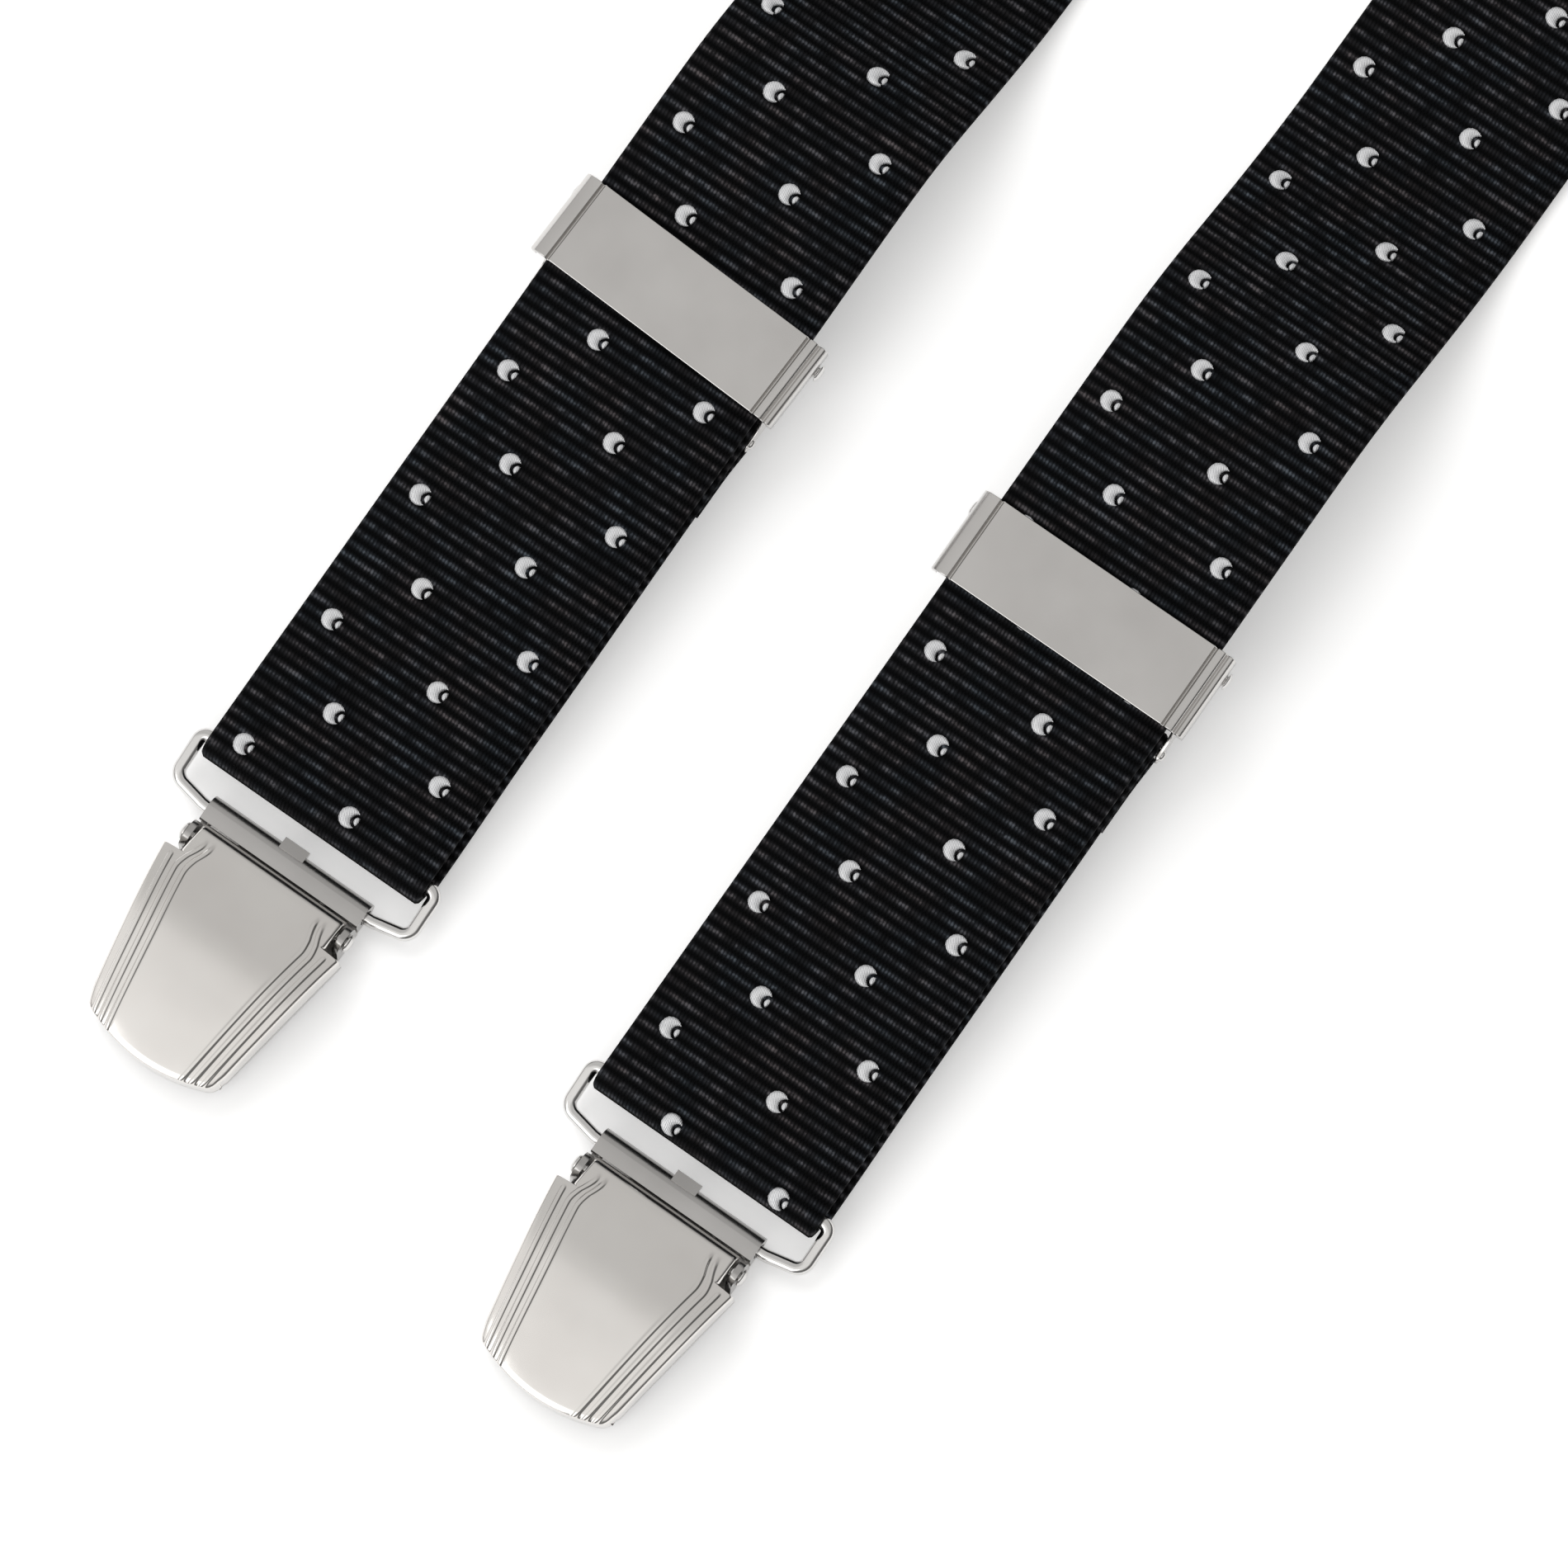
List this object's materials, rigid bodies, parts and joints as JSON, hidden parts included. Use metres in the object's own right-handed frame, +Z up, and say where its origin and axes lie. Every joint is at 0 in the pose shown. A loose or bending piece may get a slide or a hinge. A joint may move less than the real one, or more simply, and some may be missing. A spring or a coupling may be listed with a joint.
{
  "type": "suspenders",
  "caption": "Clip-on suspenders in ribbed black webbing with woven silver dots, polished adjusters and lever clips, joined by a leather back patch",
  "frame": {"origin": "Centre of the laid-out footprint, on the table", "axes": "+Y from the front clips towards the rear clip; +Z up off the table; the front straps lie side by side along Y, left at -X and right at +X"},
  "size_m": [0.1154, 1.0658, 0.0138],
  "materials": {
    "webbing": "ribbed weave with small silver woven dots",
    "leather": "smooth, edge stitched",
    "grip": "cross ridges",
    "polished_cover": "polished nickel plate",
    "polished_plate": "polished nickel plate"
  },
  "bodies": {
    "webbing": {"strap_left_main": "webbing", "strap_right_main": "webbing", "strap_rear": "webbing", "patch_under": "leather", "patch_top": "leather", "clip_rear_wire": "polished_plate"},
    "loop_left": {"clip_left_wire": "polished_plate", "strap_left_return": "webbing"},
    "base_left": {"clip_left_base": "polished_plate", "clip_left_pin": "polished_plate", "clip_left_pad": "grip"},
    "cover_left": {"clip_left_cover": "polished_cover"},
    "jaw_left": {"clip_left_jaw": "polished_plate"},
    "adjuster_left": {"adjuster_left_frame": "polished_plate", "adjuster_left_pin": "polished_plate", "adjuster_left_bar": "polished_plate"},
    "gripper_left": {"adjuster_left_lever": "polished_plate"},
    "loop_right": {"clip_right_wire": "polished_plate", "strap_right_return": "webbing"},
    "base_right": {"clip_right_base": "polished_plate", "clip_right_pin": "polished_plate", "clip_right_pad": "grip"},
    "cover_right": {"clip_right_cover": "polished_cover"},
    "jaw_right": {"clip_right_jaw": "polished_plate"},
    "adjuster_right": {"adjuster_right_frame": "polished_plate", "adjuster_right_pin": "polished_plate", "adjuster_right_bar": "polished_plate"},
    "gripper_right": {"adjuster_right_lever": "polished_plate"},
    "base_rear": {"clip_rear_base": "polished_plate", "clip_rear_pin": "polished_plate", "clip_rear_pad": "grip"},
    "cover_rear": {"clip_rear_cover": "polished_cover"},
    "jaw_rear": {"clip_rear_jaw": "polished_plate"}
  },
  "joints": [
    {"name": "left_clip_slide", "type": "slide", "parent": "webbing", "child": "loop_left", "axis": [0, -1, 0], "range_m": [0, 0.035], "deforming": ["strap_left_main"]},
    {"name": "left_adjuster_slide", "type": "slide", "parent": "loop_left", "child": "adjuster_left", "axis": [0, -0.9981, -0.0619], "range_m": [0, 0.035], "deforming": ["strap_left_return"]},
    {"name": "left_clip_swing", "type": "hinge", "parent": "loop_left", "child": "base_left", "pos_m": [-0.0335, -0.49425, 0.00195], "axis": [-1, 0, 0], "range_deg": [-60, 38]},
    {"name": "left_cover_lift", "type": "hinge", "parent": "base_left", "child": "cover_left", "pos_m": [-0.0335, -0.49855, 0.004], "axis": [-1, 0, 0], "range_deg": [0, 95]},
    {"name": "left_jaw_open", "type": "hinge", "parent": "base_left", "child": "jaw_left", "pos_m": [-0.0335, -0.49855, 0.004], "axis": [-1, 0, 0], "range_deg": [0, 19]},
    {"name": "left_gripper_turn", "type": "hinge", "parent": "adjuster_left", "child": "gripper_left", "pos_m": [-0.0335, -0.40188, 0.00835], "axis": [1, 0, 0], "range_deg": [0, 40]},
    {"name": "right_clip_slide", "type": "slide", "parent": "webbing", "child": "loop_right", "axis": [0, -1, 0], "range_m": [0, 0.035], "deforming": ["strap_right_main"]},
    {"name": "right_adjuster_slide", "type": "slide", "parent": "loop_right", "child": "adjuster_right", "axis": [0, -0.9981, -0.0619], "range_m": [0, 0.035], "deforming": ["strap_right_return"]},
    {"name": "right_clip_swing", "type": "hinge", "parent": "loop_right", "child": "base_right", "pos_m": [0.0335, -0.50055, 0.00195], "axis": [-1, 0, 0], "range_deg": [-60, 38]},
    {"name": "right_cover_lift", "type": "hinge", "parent": "base_right", "child": "cover_right", "pos_m": [0.0335, -0.50485, 0.004], "axis": [-1, 0, 0], "range_deg": [0, 95]},
    {"name": "right_jaw_open", "type": "hinge", "parent": "base_right", "child": "jaw_right", "pos_m": [0.0335, -0.50485, 0.004], "axis": [-1, 0, 0], "range_deg": [0, 19]},
    {"name": "right_gripper_turn", "type": "hinge", "parent": "adjuster_right", "child": "gripper_right", "pos_m": [0.0335, -0.40588, 0.00849], "axis": [1, 0, 0], "range_deg": [0, 40]},
    {"name": "rear_clip_swing", "type": "hinge", "parent": "webbing", "child": "base_rear", "pos_m": [0, 0.50055, 0.00195], "axis": [1, 0, 0], "range_deg": [-60, 38]},
    {"name": "rear_cover_lift", "type": "hinge", "parent": "base_rear", "child": "cover_rear", "pos_m": [0, 0.50485, 0.004], "axis": [1, 0, 0], "range_deg": [0, 95]},
    {"name": "rear_jaw_open", "type": "hinge", "parent": "base_rear", "child": "jaw_rear", "pos_m": [0, 0.50485, 0.004], "axis": [1, 0, 0], "range_deg": [0, 19]}
  ],
  "couplings": [
    {"joint": "left_adjuster_slide", "follows": "left_clip_slide", "ratio": 1},
    {"joint": "left_jaw_open", "follows": "left_cover_lift", "ratio": 0.2},
    {"joint": "right_adjuster_slide", "follows": "right_clip_slide", "ratio": 1},
    {"joint": "right_jaw_open", "follows": "right_cover_lift", "ratio": 0.2},
    {"joint": "rear_jaw_open", "follows": "rear_cover_lift", "ratio": 0.2}
  ]
}
